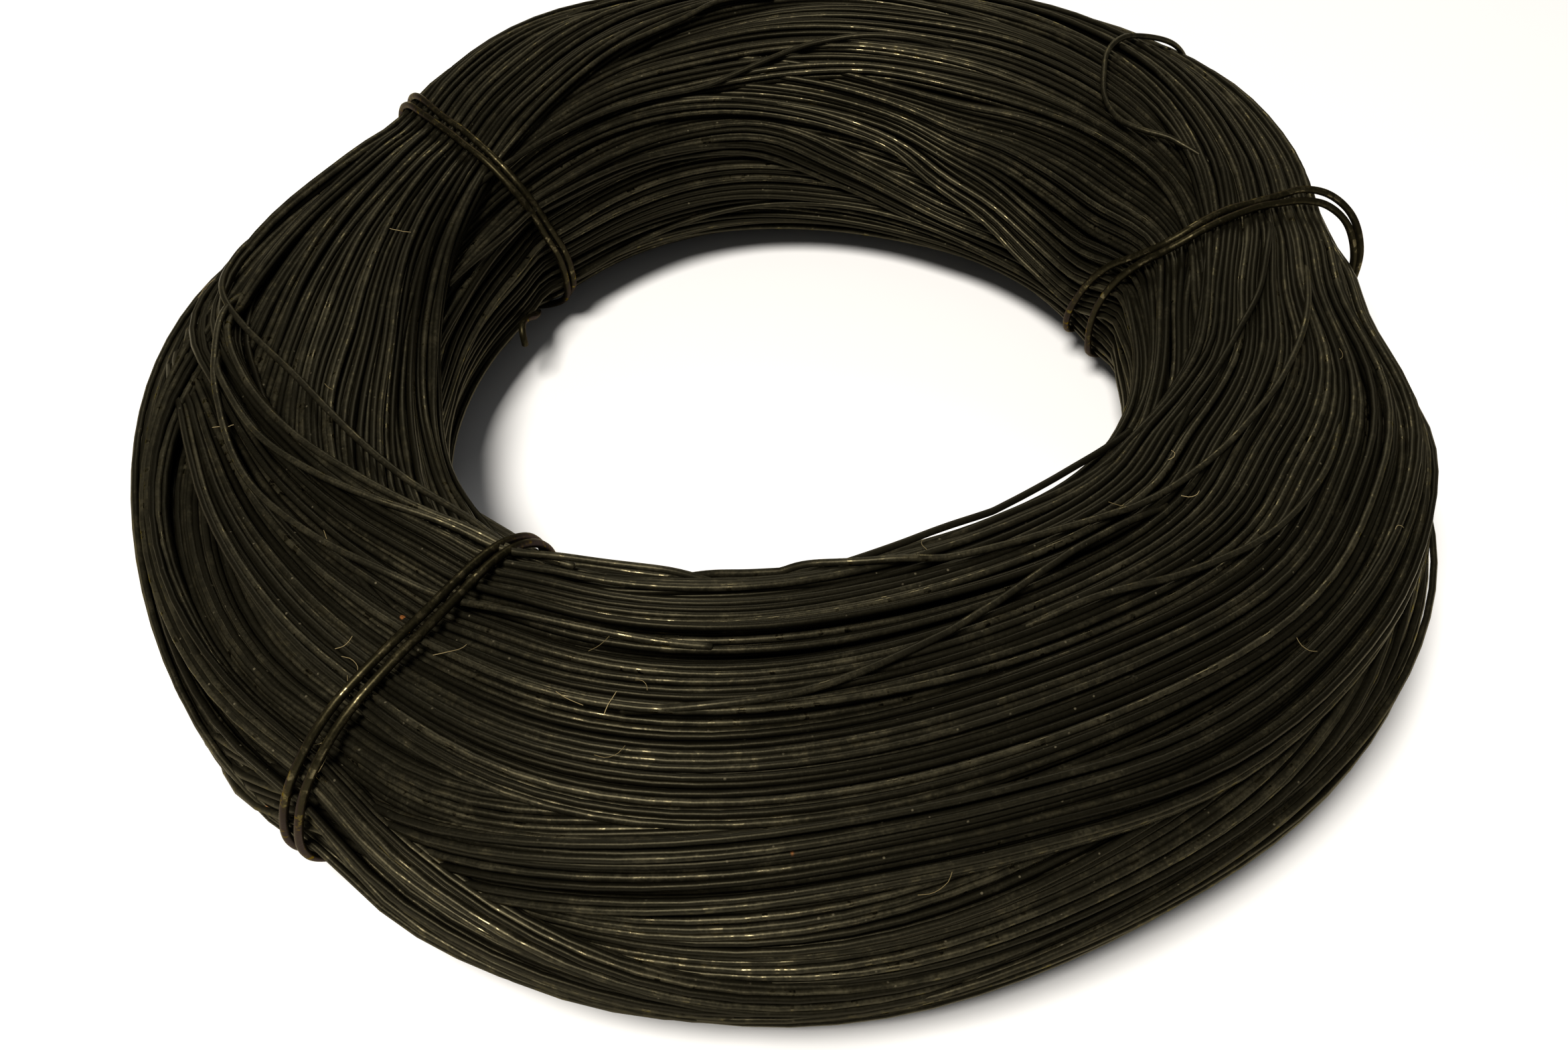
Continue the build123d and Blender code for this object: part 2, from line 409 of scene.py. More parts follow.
def meshFrom(name, points, quads, triangles=(), attributes=None):
    # A piece from arrays of points in mm, quads and triangles, with smooth faces.
    mesh = bpy.data.meshes.new(name)
    mesh.vertices.add(len(points))
    mesh.vertices.foreach_set("co", (points * mm).astype(np.float32).ravel())
    quads, triangles = np.asarray(quads, int), np.asarray(triangles, int).reshape(-1, 3)
    corners = np.concatenate([quads.ravel(), triangles.ravel()])
    mesh.loops.add(len(corners))
    mesh.loops.foreach_set("vertex_index", corners.astype(np.int32))
    mesh.polygons.add(len(quads) + len(triangles))
    starts = np.concatenate([np.arange(len(quads)) * 4, quads.size + np.arange(len(triangles)) * 3])
    mesh.polygons.foreach_set("loop_start", starts.astype(np.int32))
    mesh.polygons.foreach_set("use_smooth", np.ones(len(starts), bool))
    for key, values in (attributes or {}).items():
        layer = mesh.attributes.new(key, "FLOAT", "POINT")
        layer.data.foreach_set("value", values.astype(np.float32).ravel())
    mesh.update()
    mesh.validate()
    piece = bpy.data.objects.new(name, mesh)
    bpy.context.scene.collection.objects.link(piece)
    return piece


def closedTubes(name, centres, normals, radius, sides, tones):
    # Tubes round closed paths: centre + radius * (cos a * normal + sin a * (along x normal)).
    turns, steps, _ = centres.shape
    along = np.roll(centres, -1, 1) - np.roll(centres, 1, 1)
    along /= np.linalg.norm(along, axis=2, keepdims=True)
    normals = normals - along * (normals * along).sum(2, keepdims=True)
    normals /= np.linalg.norm(normals, axis=2, keepdims=True)
    beside = np.cross(along, normals)
    angle = np.arange(sides) * 2 * np.pi / sides
    ring = np.cos(angle)[:, None] * normals[:, :, None] + np.sin(angle)[:, None] * beside[:, :, None]
    points = centres[:, :, None] + radius * ring
    t, k, s = np.meshgrid(np.arange(turns), np.arange(steps), np.arange(sides), indexing="ij")

    def corner(step, side):
        # Number of a point in its turn t, which closes on itself.
        return (t * steps + step % steps) * sides + side % sides

    quads = np.stack([corner(k, s), corner(k + 1, s), corner(k + 1, s + 1), corner(k, s + 1)], -1)
    tone = np.broadcast_to(tones[:, None, None], (turns, steps, sides))
    return meshFrom(name, points.reshape(-1, 3), quads.reshape(-1, 4), attributes={"wireTone": tone})


def coilPieces():
    # The turns of each sweep as one piece of tubes. Each turn starts at its own part of a station.
    phi, names = laid["phi"], laid["names"]
    shift = dice.uniform(0, 1, (len(names), 1))
    turned = phi[None, :] + shift * 2 * np.pi / len(phi)
    lifts = shifted(laid["depth"], shift) - wireRadius
    centres, normals = onCoil(turned, shifted(laid["places"], shift), lifts, wireRadius)
    tones = dice.uniform(0, 1, len(names))
    perTurn = coilShape["steps"] * coilShape["sides"] * 2
    made = []
    for name in sweeps:
        rows = np.nonzero(names == name)[0]
        piece = closedTubes(name, centres[rows], normals[rows], wireRadius, coilShape["sides"], tones[rows])
        made.append(piece)
        print(name, "turns:", len(rows), "triangles:", len(rows) * perTurn)
    print("turns of wire:", len(names), "triangles:", len(names) * perTurn)
    return made


def corePiece():
    # The inside of the coil: its surface moved in by the height of the pile of turns.
    cells, steps = lay["cells"], coilShape["steps"]
    share, angle = np.meshgrid(np.arange(cells) / cells, laid["phi"], indexing="ij")
    points, _ = onCoil(angle, share, -laid["level"] - coilShape["settle"] - wireRadius, wireRadius)
    j, k = np.meshgrid(np.arange(cells), np.arange(steps), indexing="ij")

    def corner(side, step):
        # Number of a point on the closed grid.
        return (side % cells) * steps + step % steps

    quads = np.stack([corner(j, k), corner(j + 1, k), corner(j + 1, k + 1), corner(j, k + 1)], -1)
    print("inner turns:", cells, "cells by", steps, "stations")
    return meshFrom("inner_turns", points.reshape(-1, 3), quads.reshape(-1, 4))


def reliefAt(phi, share):
    # Height of the turns' crests over the coil's surface, mixed from the four nearest cells and stations.
    cells, steps = laid["relief"].shape
    row, column = share * cells, phi / (2 * np.pi) * steps
    j, k = np.floor(row).astype(int), np.floor(column).astype(int)
    a, b = row - j, column - k
    grid = laid["relief"]
    near = (1 - b) * grid[j % cells, k % steps] + b * grid[j % cells, (k + 1) % steps]
    far = (1 - b) * grid[(j + 1) % cells, k % steps] + b * grid[(j + 1) % cells, (k + 1) % steps]
    return (1 - a) * near + a * far


def strandPath(points, radius, step, bridge):
    # A smooth wire through points of (angle, percent round the section, lift over the turns' crests). It
    # spans hollows up to bridge mm to each side: crests' sliding maximum, then sliding minimum, evened.
    angle, share, lift = np.array(points, float).T
    across, around = np.diff(share) * percentLength, np.diff(angle) * degreeLength
    runs = np.sqrt(around ** 2 + across ** 2 + np.diff(lift) ** 2)
    knots = np.concatenate([[0], np.cumsum(runs)])
    at = np.linspace(0, knots[-1], int(knots[-1] / step) + 1)
    phi = np.radians(smoothLine(knots, angle, at))
    place, lift = smoothLine(knots, share, at) / 100, smoothLine(knots, lift, at)
    reach = max(1, int(bridge / step))
    crest = np.pad(reliefAt(phi, place), 3 * reach, mode="edge")
    spans = np.lib.stride_tricks.sliding_window_view
    spanned = spans(spans(crest, 2 * reach + 1).max(1), 2 * reach + 1).min(1)
    even = np.hanning(2 * reach + 3)[1:-1]
    rest = np.maximum(np.convolve(spanned, even / even.sum(), mode="valid"), -coilShape["settle"])
    centres, normals = onCoil(phi, place, rest + radius + lift, radius)
    return centres, normals, phi


tubeEnd = {"length": 0.35, "size": 0.6, "tip": 0.1}  # rounded end of an open tube, in radii


def openTubes(name, paths, radius, sides, tones):
    # Tubes along open paths with rounded ends, joined in one piece. Each path is (centres, references), and
    # a ring is centre + size * (cos a * reference + sin a * (along x reference)).
    points, quads, triangles, shades, base = [], [], [], [], 0
    angle = np.arange(sides) * 2 * np.pi / sides
    cosine, sine = np.cos(angle)[:, None], np.sin(angle)[:, None]
    for (centres, references), tone in zip(paths, tones):
        along = np.gradient(centres, axis=0)
        along /= np.linalg.norm(along, axis=1, keepdims=True)
        references = references - along * (references * along).sum(1, keepdims=True)
        references /= np.linalg.norm(references, axis=1, keepdims=True)
        beside = np.cross(along, references)
        first = centres[:1] - along[:1] * radius * tubeEnd["length"]
        last = centres[-1:] + along[-1:] * radius * tubeEnd["length"]
        spine = np.concatenate([first, centres, last])
        sizes = np.concatenate([[tubeEnd["size"]], np.ones(len(centres)), [tubeEnd["size"]]]) * radius
        across = np.concatenate([references[:1], references, references[-1:]])
        beside = np.concatenate([beside[:1], beside, beside[-1:]])
        ring = cosine * across[:, None] + sine * beside[:, None]
        rings = len(spine)
        tube = spine[:, None] + sizes[:, None, None] * ring
        tip = radius * tubeEnd["tip"]
        poles = np.array([first[0] - along[0] * tip, last[0] + along[-1] * tip])
        points.append(np.concatenate([tube.reshape(-1, 3), poles]))
        k, s = np.meshgrid(np.arange(rings - 1), np.arange(sides), indexing="ij")
        here, there = base + k * sides + s, base + k * sides + (s + 1) % sides
        quads.append(np.stack([here, here + sides, there + sides, there], -1).reshape(-1, 4))
        s = np.arange(sides)
        start, end, pole = base, base + (rings - 1) * sides, base + rings * sides
        triangles.append(np.stack([np.full(sides, pole), start + s, start + (s + 1) % sides], -1))
        triangles.append(np.stack([np.full(sides, pole + 1), end + (s + 1) % sides, end + s], -1))
        shades.append(np.full(rings * sides + 2, tone))
        base += rings * sides + 2
    return meshFrom(name, np.concatenate(points), np.concatenate(quads), np.concatenate(triangles),
                    {"wireTone": np.concatenate(shades)})


# Single strands that leave their sweep and cross the coil, through points of (angle, percent round the
# section, lift in mm).
strays = {
    "crown_loop": [(24, 24.8, -5), (27, 22.8, -2.4), (29.6, 21.2, -0.2), (33, 19.2, 0.4),
                   (37, 18.2, 0.6), (41, 19.2, 0.6), (45, 22.7, 0.6), (47.2, 26, 0.8), (47.4, 29, 0.8),
                   (46.4, 32, 0.5), (45.4, 36, 0), (45, 41, -1.5), (44.5, 45, -4)],
    "left_cross": [(160, 38, -5), (168, 36.6, -1.6), (175, 34.5, -0.6), (180, 32, 0), (185, 28.5, 0),
                   (190, 25, 0), (195, 22, 0), (200, 19.8, 0), (205, 18, 0), (210, 16.5, 0),
                   (217, 14.8, 0), (225, 13.3, 0), (232, 12.9, -0.5), (240, 13, -3)],
    "left_bright": [(184, 31, -5), (192, 30, 0), (197, 28.5, 0), (205, 26, 0), (212, 23, 0),
                    (220, 19.5, 0), (227, 16.7, 0), (233, 15.2, 0), (242, 14, 0), (254, 13.3, 0),
                    (262, 12.8, -2)],
    "left_second": [(178, 31, -5), (185, 30, 0), (195, 27, 0), (205, 23.3, 0), (215, 19.5, 0),
                    (225, 16.5, 0), (233, 14.3, 0), (243, 13.6, -2)],
    "left_third": [(174, 31.5, -6), (181, 31.2, -0.5), (190, 30.5, 0), (200, 29.6, 0), (210, 28.4, 0),
                   (220, 26, 0), (234, 23, 0), (248, 21.6, 0), (262, 21.2, -2)],
    "front_long": [(250, 7, -3), (259, 9.7, -1), (264, 10.9, -0.8), (270, 12.2, -0.4), (280, 14.5, 0),
                   (290, 16, 0), (300, 17, 0), (315, 19.3, 0), (330, 21, 0), (345, 24, 0), (358, 29, 0),
                   (366, 32, -3)],
    "front_cross": [(256, 27.6, -3), (264, 27.1, 0), (272, 26, 0), (280, 24.4, 0), (290, 22.3, 0),
                    (300, 20.5, 0), (310, 20, 0), (318, 20, -3)],
    "front_low": [(292, 24.4, -3), (300, 25, 0), (310, 26.6, 0), (320, 28.5, 0), (330, 29.4, 0),
                  (340, 29.8, -3)],
    "right_cross": [(330, 15.5, -3), (336, 16, 0), (343, 17, 0), (350, 18.8, 0), (360, 23.5, 0),
                    (368, 26, 0), (374, 28, -3)],
    "back_cross": [(66, 20, -3), (72, 19, 0), (85, 17, 0), (95, 14, 0), (103, 12.3, 0), (115, 12.5, 0),
                   (130, 13.4, 0), (141, 14.3, 0), (149, 15, -3)],
    "back_bright": [(98, 4.6, -3), (106, 5.6, 0), (115, 6.2, 0), (130, 7, 0), (142, 7.6, 0),
                    (158, 8.2, 0), (166, 8.6, -3)],
    "back_low": [(92, 26.5, -2), (98, 25, 0), (105, 22.7, 0), (115, 20.3, 0), (125, 18, 0),
                 (135, 16.3, 0), (141, 15.8, -2)],
    "bore_edge": [(266, 13.4, -3.4), (277, 12.7, -1.4), (288, 11.9, -0.4), (297, 11.2, 0.2),
                  (306, 10.4, 0.8), (314, 9.8, 1), (321, 9.3, 0.7), (328, 8.8, -0.4), (336, 8.2, -2.4)],
}
strayWire = {
    "step": 1.6,  # mm from ring to ring
    "bridge": 8,  # mm to each side over which a strand spans hollows
    "bridges": {"bore_edge": 26},  # for those that span more
    "sides": 8,
    "tones": (0.3, 1),
}


def strayPiece():
    # Every strand as one wire that rests on the crests it crosses.
    paths = []
    for name, points in strays.items():
        bridge = strayWire["bridges"].get(name, strayWire["bridge"])
        paths.append(strandPath(points, wireRadius, strayWire["step"], bridge)[:2])
    print("stray strands:", len(paths))
    tones = dice.uniform(*strayWire["tones"], len(paths))
    return openTubes("stray_strands", paths, wireRadius, strayWire["sides"], tones)


# Each tie is one wire laid twice round the section, through points of (angle, percent round the section,
# lift in mm). Under the coil it runs straight back to where it began.
tieWire = {
    "radius": 0.95,
    "step": 1.0,
    "bridge": 9,
    "sides": 10,
    "tone": 0.5,
}
ties = {
    "tie_right": [
        [(31, -11, 0.2), (26.5, -4, 0), (23, 1, 0), (19.2, 6, 0), (16, 9.3, 0), (14, 12.2, 0),
         (13.4, 15, 0), (13.9, 18, 0), (14.7, 22, 0), (15.1, 26, 0), (15.8, 30, 0.2), (16.4, 33.5, 1.6),
         (15.8, 37, 3.6), (14.4, 40.5, 4.6), (13, 44, 3.4), (12.4, 48, 1), (12.4, 54, 0), (13, 64, 0),
         (18, 76, 0), (25, 86, 0)],
        [(24, -11, 0.2), (21, -6, 0), (18.5, 1, 0), (16.3, 5.5, 0), (13.6, 10, 0), (12.1, 12.5, 0),
         (11.6, 15, 0), (12, 18, 0), (13, 22, 0), (14, 26, 0), (14.6, 30, 0), (15.2, 33.5, 0.4),
         (15, 37, 1.8), (14, 40.5, 2.6), (13, 44, 1.6), (12.6, 48, 0.2), (12.4, 54, 0), (12, 62, 0),
         (16, 75, 0), (21, 87, 0)],
    ],
    "tie_back_left": [
        [(135, -11, 0.2), (136.5, -5, 0), (138, 0, 0), (140, 4, 0), (141.5, 8, 0), (142.2, 12, 0),
         (142.3, 15, 0), (142, 19, 0), (141.3, 23, 0), (140.5, 28, 0), (139.5, 32, 0), (138, 37, -0.2),
         (136.5, 43, -0.2), (136, 50, 0), (137, 62, 0), (139, 76, 0), (138, 86, 0)],
        [(136.6, -11, 0.2), (138, -5, 0), (139.6, 0, 0), (141.6, 4, 0), (143, 8, 0), (143.9, 12, 0),
         (144, 15, 0), (143.7, 19, 0), (142.9, 23, 0), (142, 28, 0), (141.1, 32, 0), (139.6, 37, -0.2),
         (138.2, 43, -0.2), (137.8, 50, 0), (139, 62, 0), (141, 76, 0), (141.6, 86, 0), (144, 91.5, 0),
         (148.5, 94.6, 0), (152.3, 96.2, 0.1), (154.6, 96.5, 1), (155.8, 96, 2.3), (156.2, 95, 3.6)],
    ],
    "tie_front_left": [
        [(231, -9, 0), (231, 0, 0), (232, 8, 0), (233.4, 13, 0), (234.6, 18, 0), (235.3, 22, 0),
         (235.6, 26, 0), (235.3, 31, 0), (234.7, 36, 0), (234, 42, -0.2), (233, 47, -0.7),
         (231.8, 52, -0.9), (230.8, 58, -0.6), (231, 68, 0), (232, 78, 0), (232, 86, 0)],
        [(233, -9, 0), (233, 0, 0), (233.8, 8, 0), (235, 13, 0), (236.1, 18, 0), (236.8, 22, 0),
         (237, 26, 0), (236.7, 31, 0), (236.1, 36, 0), (235.4, 42, -0.2), (234.5, 47, -0.7),
         (233.3, 52, -0.9), (232.3, 58, -0.6), (232.5, 68, 0), (233.5, 78, 0), (234, 87, 0)],
    ],
}


def tiePiece(node):
    # The first round runs on into the second, and both ends of the wire lie low in the bore. Its rings are
    # turned by the direction round the coil, (-sin phi, cos phi, 0), which never runs along a tie.
    first, second = ties[node]
    points = first + [(angle, share + 100, lift) for angle, share, lift in second]
    centres, _, phi = strandPath(points, tieWire["radius"], tieWire["step"], tieWire["bridge"])
    around = np.stack([-np.sin(phi), np.cos(phi), np.zeros_like(phi)], -1)
    print(node, "points:", len(centres))
    radius, sides, tones = tieWire["radius"], tieWire["sides"], [tieWire["tone"]]
    return openTubes(node + "_strands", [(centres, around)], radius, sides, tones)


# Pale fibres caught on the turns. Lengths in mm, angles in degrees, places in percent round the section.
lint = {
    "count": 26,
    "angles": (160, 350),
    "places": (8, 42),
    "lengths": (3, 6.5),
    "runs": 3,  # stretches of a fibre
    "bend": 70,  # degrees by which it turns on its way, at most
    "lift": 0.3,  # over the turns, at most
    "radius": 0.07,
    "step": 0.7,
    "bridge": 1.5,
    "sides": 4,
    "seed": 5,
    "dark": colour(0.10, 0.075, 0.03),
    "pale": colour(0.32, 0.25, 0.12),
    "roughness": 0.8,
    "gloss": 0.2,
}


def lintPiece():
    # Each fibre is a few runs along a heading that turns evenly: the next point = point + run * (cos, sin).
    toss = np.random.default_rng(lint["seed"])
    runs = lint["runs"]
    paths = []
    for _ in range(lint["count"]):
        angle, place = toss.uniform(*lint["angles"]), toss.uniform(*lint["places"])
        run, heading = toss.uniform(*lint["lengths"]) / runs, toss.uniform(0, 360)
        bend = toss.uniform(-lint["bend"], lint["bend"])
        headings = np.radians(heading + bend * np.arange(runs) / (runs - 1))
        angles = angle + np.concatenate([[0], np.cumsum(run * np.cos(headings))]) / degreeLength
        places = place + np.concatenate([[0], np.cumsum(run * np.sin(headings))]) / percentLength
        lifts = toss.uniform(0, lint["lift"], runs + 1)
        points = np.stack([angles, places, lifts], -1)
        paths.append(strandPath(points, lint["radius"], lint["step"], lint["bridge"])[:2])
    print("lint fibres:", len(paths))
    return openTubes("lint_fibres", paths, lint["radius"], lint["sides"], toss.uniform(0, 1, len(paths)))


class Reading:
    # One socket in a material. Each operator adds the Math node of that name.
    def __init__(self, finish, socket):
        self.finish, self.socket = finish, socket

    def maths(self, operation, first, second):
        # first (operation) second, as a Math node.
        return self.finish.node("ShaderNodeMath", {"operation": operation}, [first, second])

    def __add__(self, other):
        return self.maths("ADD", self, other)

    def __sub__(self, other):
        return self.maths("SUBTRACT", self, other)

    def __rsub__(self, other):
        return self.maths("SUBTRACT", other, self)

    def __mul__(self, other):
        return self.maths("MULTIPLY", self, other)

    __radd__ = __add__
    __rmul__ = __mul__

    def between(self, low, high):
        # 0 below low, 1 above high and smooth between.
        settings = {"interpolation_type": "SMOOTHSTEP", "clamp": True}
        inputs = {"Value": self, "From Min": low, "From Max": high}
        return self.finish.node("ShaderNodeMapRange", settings, inputs)


class Finish:
    # A material's nodes. Fixed values go straight onto the shader, and what varies is linked to it.
    def __init__(self, name, **fixed):
        self.material = bpy.data.materials.new(name)
        self.material.use_nodes = True
        self.tree = self.material.node_tree
        self.shader = self.tree.nodes["Principled BSDF"]
        for socket, value in fixed.items():
            self.shader.inputs[socket.replace("_", " ")].default_value = value

    def node(self, kind, settings=None, inputs=None, out=0):
        # Any node: its settings, then its inputs as values or links, and the output that is read.
        made = self.tree.nodes.new(kind)
        for key, value in (settings or {}).items():
            setattr(made, key, value)
        pairs = inputs.items() if isinstance(inputs, dict) else enumerate(inputs or [])
        for key, value in pairs:
            if isinstance(value, Reading):
                self.tree.links.new(value.socket, made.inputs[key])
            else:
                made.inputs[key].default_value = value
        return Reading(self, made.outputs[out])

    def place(self):
        # Object coordinates, in metres.
        return self.node("ShaderNodeTexCoord", out=3)

    def noise(self, size, detail, rough=0.5):
        # Noise whose patches are about size mm across, round 0.5.
        settings = {"noise_dimensions": "3D"}
        inputs = {"Vector": self.place(), "Scale": 1 / (size * mm), "Detail": detail, "Roughness": rough}
        return self.node("ShaderNodeTexNoise", settings, inputs)

    def specks(self, spacing):
        # Distance to the nearest of scattered points about spacing mm apart, in shares of the spacing.
        return self.node("ShaderNodeTexVoronoi", {}, {"Vector": self.place(), "Scale": 1 / (spacing * mm)})

    def attribute(self, name):
        # A value that the mesh carries at its points.
        return self.node("ShaderNodeAttribute", {"attribute_name": name}, out=2)

    def up(self):
        # 1 on a surface that faces up and 0 on one that faces down.
        normal = self.node("ShaderNodeTexCoord", out=1)
        return self.node("ShaderNodeSeparateXYZ", {}, [normal], out=2) * 0.5 + 0.5

    def mix(self, share, first, second):
        # Colour that goes from the first to the second by share.
        return self.node("ShaderNodeMix", {"data_type": "RGBA"}, {0: share, 6: first, 7: second}, out=2)

    def feed(self, **links):
        # Links readings to the shader's sockets.
        for socket, value in links.items():
            self.tree.links.new(value.socket, self.shader.inputs[socket.replace("_", " ")])

    def bump(self, height, depth, strength):
        # Normal that follows a height of this depth in mm.
        inputs = {"Strength": strength, "Distance": depth * mm, "Height": height}
        return self.node("ShaderNodeBump", {}, inputs)


# Wire with its black scale. Colours are linear, and sizes, patches and spacings in mm.
annealed = {
    "dark": colour(0.0064, 0.0056, 0.0032),  # oxide in the shade of the next turn
    "plain": colour(0.0180, 0.0160, 0.0096),
    "worn": colour(0.0600, 0.0520, 0.0300),  # rubbed scale
    "dust": colour(0.1100, 0.0950, 0.0600),
    "rust": colour(0.2600, 0.0950, 0.0250),
    "bare": colour(0.0850, 0.0720, 0.0400),  # scale polished smooth, which flashes in the light
    "bareSize": 2.4,
    "bareTurns": (0.35, 0.9),  # tones of the turns that have such spots
    "patchSize": 7.0,
    "driftSize": 63.0,  # slow change of tone along and across the turns
    "grainSize": 0.7,
    "speckSpacing": 3.2,
    "rustSpacing": 26.0,
    "shine": 0.2,  # roughness before grain and patches add to it
    "gloss": 0.2,
    "ior": 1.5,
    "tint": colour(0.7, 0.62, 0.4),
    "metal": 0.6,  # 1 where the wire has no scale at all
    "bumpDepth": 0.12,
    "bumpStrength": 0.35,
}
# Where each mask begins and where it is full.
masks = {
    "tone": (0.35, 1.35),
    "worn": (0.56, 0.82),
    "speck": (0.05, 0.10),  # in shares of the specks' spacing, as the next
    "rustSpot": (0.012, 0.026),
    "facingUp": (0.55, 0.95),
    "dustyDrift": (0.42, 0.62),
    "rustPatch": (0.45, 0.6),
    "bare": (0.53, 0.64),
    "barePatch": (0.4, 0.56),
}
# How far each mask goes towards its colour.
cover = {"worn": 0.7, "specks": 0.8, "bare": 0.8}
bareShine = 0.2  # what a bare spot takes off the roughness
# Detail and roughness of each noise.
noises = {"grain": (3, 0.6), "patch": (4, 0.65), "drift": (2, 0.5), "bare": (2, 0.55)}
# Shares that add up to the tone, the wear, the roughness over the shine, and the relief.
sums = {
    "tone": {"turn": 0.75, "grain": 0.5, "drift": 0.5},
    "worn": {"patch": 0.6, "grain": 0.3, "turn": 0.22},
    "rough": {"grain": 0.2, "patch": 0.22, "specks": 0.3},
    "relief": {"grain": 0.6, "patch": 0.4},
}


def annealedFinish(name, palette, toned=True):
    # Colour = oxide from dark to plain by tone, mixed towards worn in patches, to dust on what faces up, to
    # specks of rust and to bare spots. Metallic = metal + bare * (1 - metal), and roughness = shine + its
    # sum - bare * bareShine.
    finish = Finish(name, Specular_IOR_Level=palette["gloss"], IOR=palette["ior"],
                    Specular_Tint=palette["tint"])
    part = {key: finish.noise(palette[key + "Size"], *fine) for key, fine in noises.items()}
    part["turn"] = finish.attribute("wireTone") if toned else part["drift"]

    def total(key):
        # Sum of share * part.
        return sum(part[name] * share for name, share in sums[key].items())

    base = finish.mix(total("tone").between(*masks["tone"]), palette["dark"], palette["plain"])
    base = finish.mix(total("worn").between(*masks["worn"]) * cover["worn"], base, palette["worn"])
    dusty = finish.up().between(*masks["facingUp"]) * part["drift"].between(*masks["dustyDrift"])
    part["specks"] = (1 - finish.specks(palette["speckSpacing"]).between(*masks["speck"])) * dusty
    base = finish.mix(part["specks"] * cover["specks"], base, palette["dust"])
    spots = 1 - finish.specks(palette["rustSpacing"]).between(*masks["rustSpot"])
    base = finish.mix(spots * part["patch"].between(*masks["rustPatch"]), base, palette["rust"])
    bare = part["bare"].between(*masks["bare"]) * part["turn"].between(*palette["bareTurns"])
    bare = bare * part["patch"].between(*masks["barePatch"])
    base = finish.mix(bare * cover["bare"], base, palette["bare"])
    metal = palette["metal"] + bare * (1 - palette["metal"])
    rough = palette["shine"] + total("rough") - bare * bareShine
    finish.feed(Base_Color=base, Metallic=metal, Roughness=rough)
    finish.feed(Normal=finish.bump(total("relief"), palette["bumpDepth"], palette["bumpStrength"]))
    return finish.material


# The ties, rubbed by the hands that bent them, and the turns inside, in the shade of the others.
rubbed = dict(annealed, dark=colour(0.0080, 0.0068, 0.0034), plain=colour(0.0260, 0.0220, 0.0105),
              worn=colour(0.0800, 0.0660, 0.0330), bare=colour(0.1400, 0.1150, 0.0600), patchSize=4.0,
              driftSize=36.0, bareTurns=(0.0, 0.6), gloss=0.3, tint=colour(0.45, 0.38, 0.2), metal=0.8)
shaded = dict(annealed, plain=colour(0.0062, 0.0054, 0.0032), worn=colour(0.012, 0.010, 0.006), shine=0.5)
wireMaterial = annealedFinish("annealedWire", annealed)
tieMaterial = annealedFinish("tieWire", rubbed)
coreMaterial = annealedFinish("innerWire", shaded, toned=False)


def lintFinish():
    # Each fibre has its own tone between dark and pale.
    finish = Finish("lintFibre", Roughness=lint["roughness"], Specular_IOR_Level=lint["gloss"])
    finish.feed(Base_Color=finish.mix(finish.attribute("wireTone"), lint["dark"], lint["pale"]))
    return finish.material


lintMaterial = lintFinish()
print("materials made")


def dress(piece, material, node):
    # A piece's finish, and which solid it stands for.
    piece.data.materials.append(material)
    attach(piece, "root")
    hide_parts(node)


for piece in coilPieces():
    dress(piece, wireMaterial, "wire_coil")
dress(strayPiece(), wireMaterial, "wire_coil")
dress(corePiece(), coreMaterial, "wire_coil")
dress(lintPiece(), lintMaterial, "wire_coil")
for node in ties:
    dress(tiePiece(node), tieMaterial, node)

# Camera at the photo's angle.
view = {
    "elevation": 46.89,  # degrees
    "roll": 0.307,
    "distance": 0.4241,  # metres
    "right": 0.00176,  # metres from the picture's middle to the coil's
    "up": 0.0138,
    "lens": 36.89,  # mm
    "sensor": 36,
}


def placeCamera():
    # It looks along (0, cos e, -sin e) at a point a little off the coil's middle, turned by roll.
    e, roll = math.radians(view["elevation"]), math.radians(view["roll"])
    ahead = np.array([0, math.cos(e), -math.sin(e)])
    right = np.array([1.0, 0, 0])
    up = np.array([0, math.sin(e), math.cos(e)])
    place = coilMiddle * mm - ahead * view["distance"] - view["right"] * right - view["up"] * up
    rightRolled = math.cos(roll) * right - math.sin(roll) * up
    upRolled = math.sin(roll) * right + math.cos(roll) * up
    camera = bpy.data.objects.new("camera", bpy.data.cameras.new("camera"))
    camera.data.lens = view["lens"]
    camera.data.sensor_width = view["sensor"]
    axes = np.stack([rightRolled, upRolled, -ahead, place], 1)
    camera.matrix_world = Matrix(axes.tolist() + [[0, 0, 0, 1]])
    bpy.context.scene.collection.objects.link(camera)
    bpy.context.scene.camera = camera
    print("camera placed")


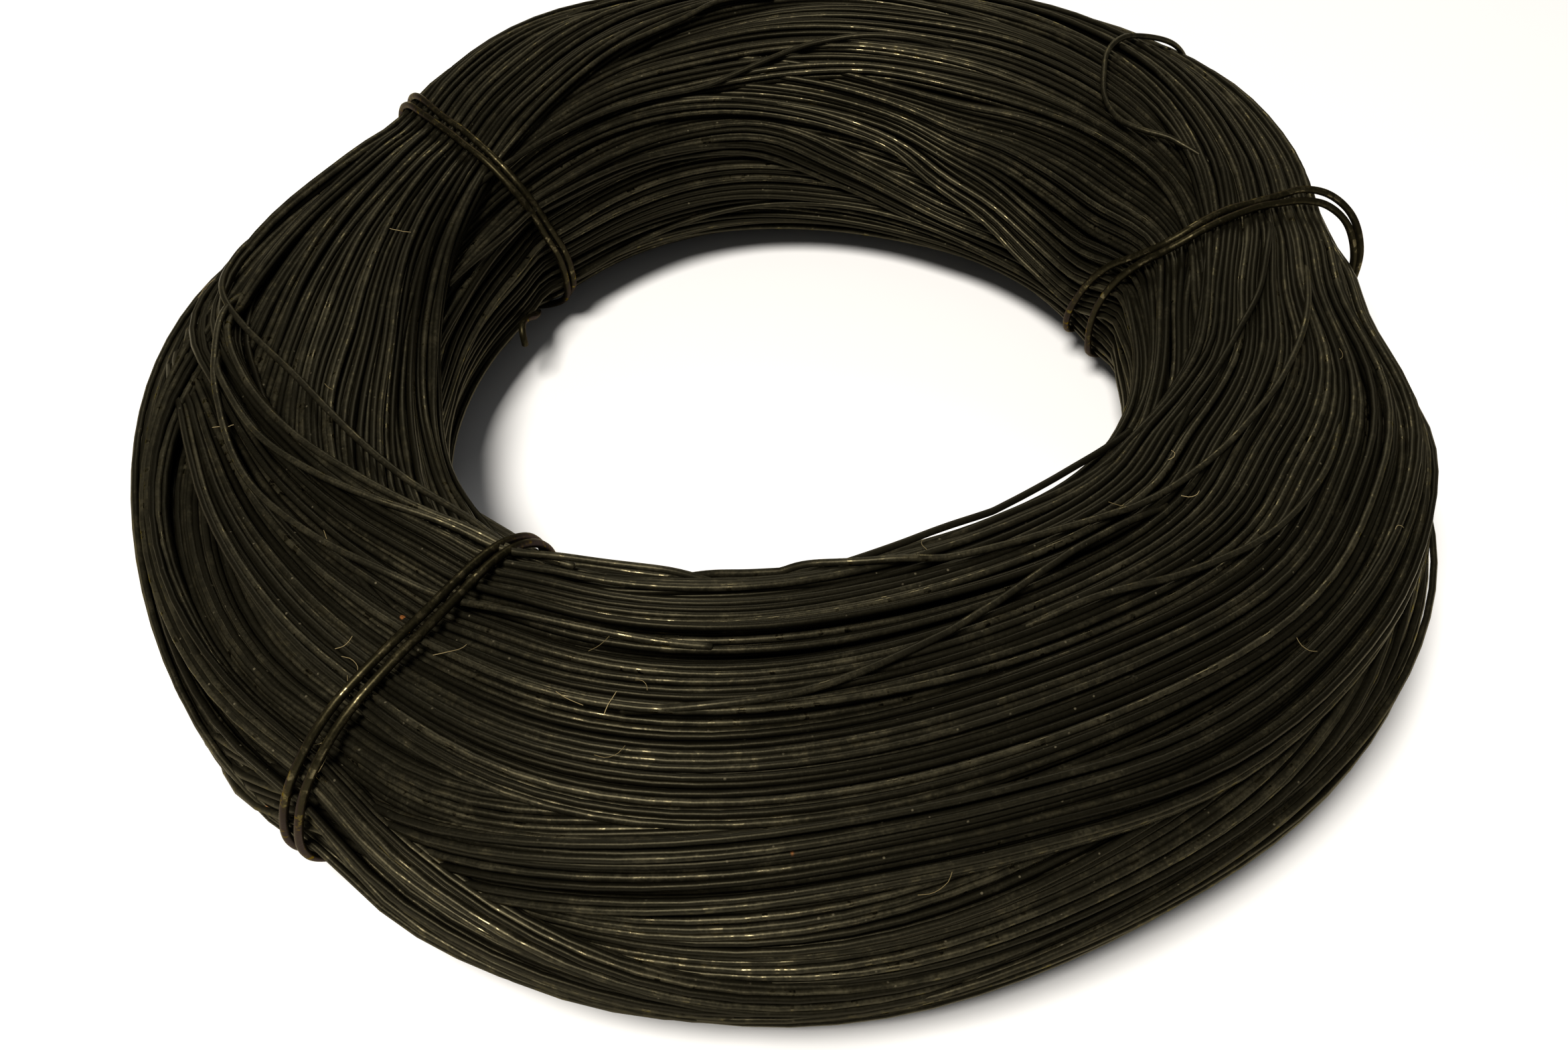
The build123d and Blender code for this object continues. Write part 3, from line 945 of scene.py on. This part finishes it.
# Lights: place in metres from the coil, size in metres, power in watts.
studio = {
    "floorColour": 0.86,
    "floorShade": 0.985,  # of that colour where it is darkest
    "floorPatch": 400,  # mm
    "floorPatchEdges": (0.2, 0.8),
    "floorReach": 2500,  # mm
    "floorRoughness": 0.8,
    "floorGloss": 0.1,
    "world": 0.13,
    "lamps": {
        "key": {"at": (-0.35, -0.72, 1.5), "size": 0.5, "power": 41.0, "colour": (1.0, 0.96, 0.90)},
        "back": {"at": (0.1, 1.3, 0.9), "size": 0.9, "power": 6.0, "colour": (1.0, 0.98, 0.95)},
    },
}


def placeStage():
    # A square floor at z = 0, an even world and the lamps, each aimed at the coil.
    square = np.array([[-1, -1, 0], [1, -1, 0], [1, 1, 0], [-1, 1, 0.0]])
    floor = meshFrom("floor", square * studio["floorReach"], np.array([[0, 1, 2, 3]]))
    roughness, gloss = studio["floorRoughness"], studio["floorGloss"]
    pale = Finish("paleFloor", Roughness=roughness, Specular_IOR_Level=gloss)
    tone = pale.noise(studio["floorPatch"], 1).between(*studio["floorPatchEdges"])
    light, dim = studio["floorColour"], studio["floorColour"] * studio["floorShade"]
    pale.feed(Base_Color=pale.mix(tone, colour(dim, dim, dim), colour(light, light, light)))
    floor.data.materials.append(pale.material)
    world = bpy.data.worlds.new("studio")
    bpy.context.scene.world = world
    world.use_nodes = True
    background = world.node_tree.nodes["Background"]
    background.inputs["Color"].default_value = colour(1, 1, 1)
    background.inputs["Strength"].default_value = studio["world"]
    bpy.context.scene.view_settings.view_transform = "Standard"
    for name, lamp in studio["lamps"].items():
        glow = bpy.data.lights.new(name, "AREA")
        glow.energy, glow.size, glow.color = lamp["power"], lamp["size"], lamp["colour"]
        glow.shape = "DISK"
        placed = bpy.data.objects.new(name, glow)
        aim = -Vector(lamp["at"])
        turned = aim.to_track_quat("-Z", "Y").to_matrix().to_4x4()
        placed.matrix_world = Matrix.Translation(lamp["at"]) @ turned
        bpy.context.scene.collection.objects.link(placed)
    print("studio set")


placeCamera()
placeStage()
bpy.context.view_layer.update()
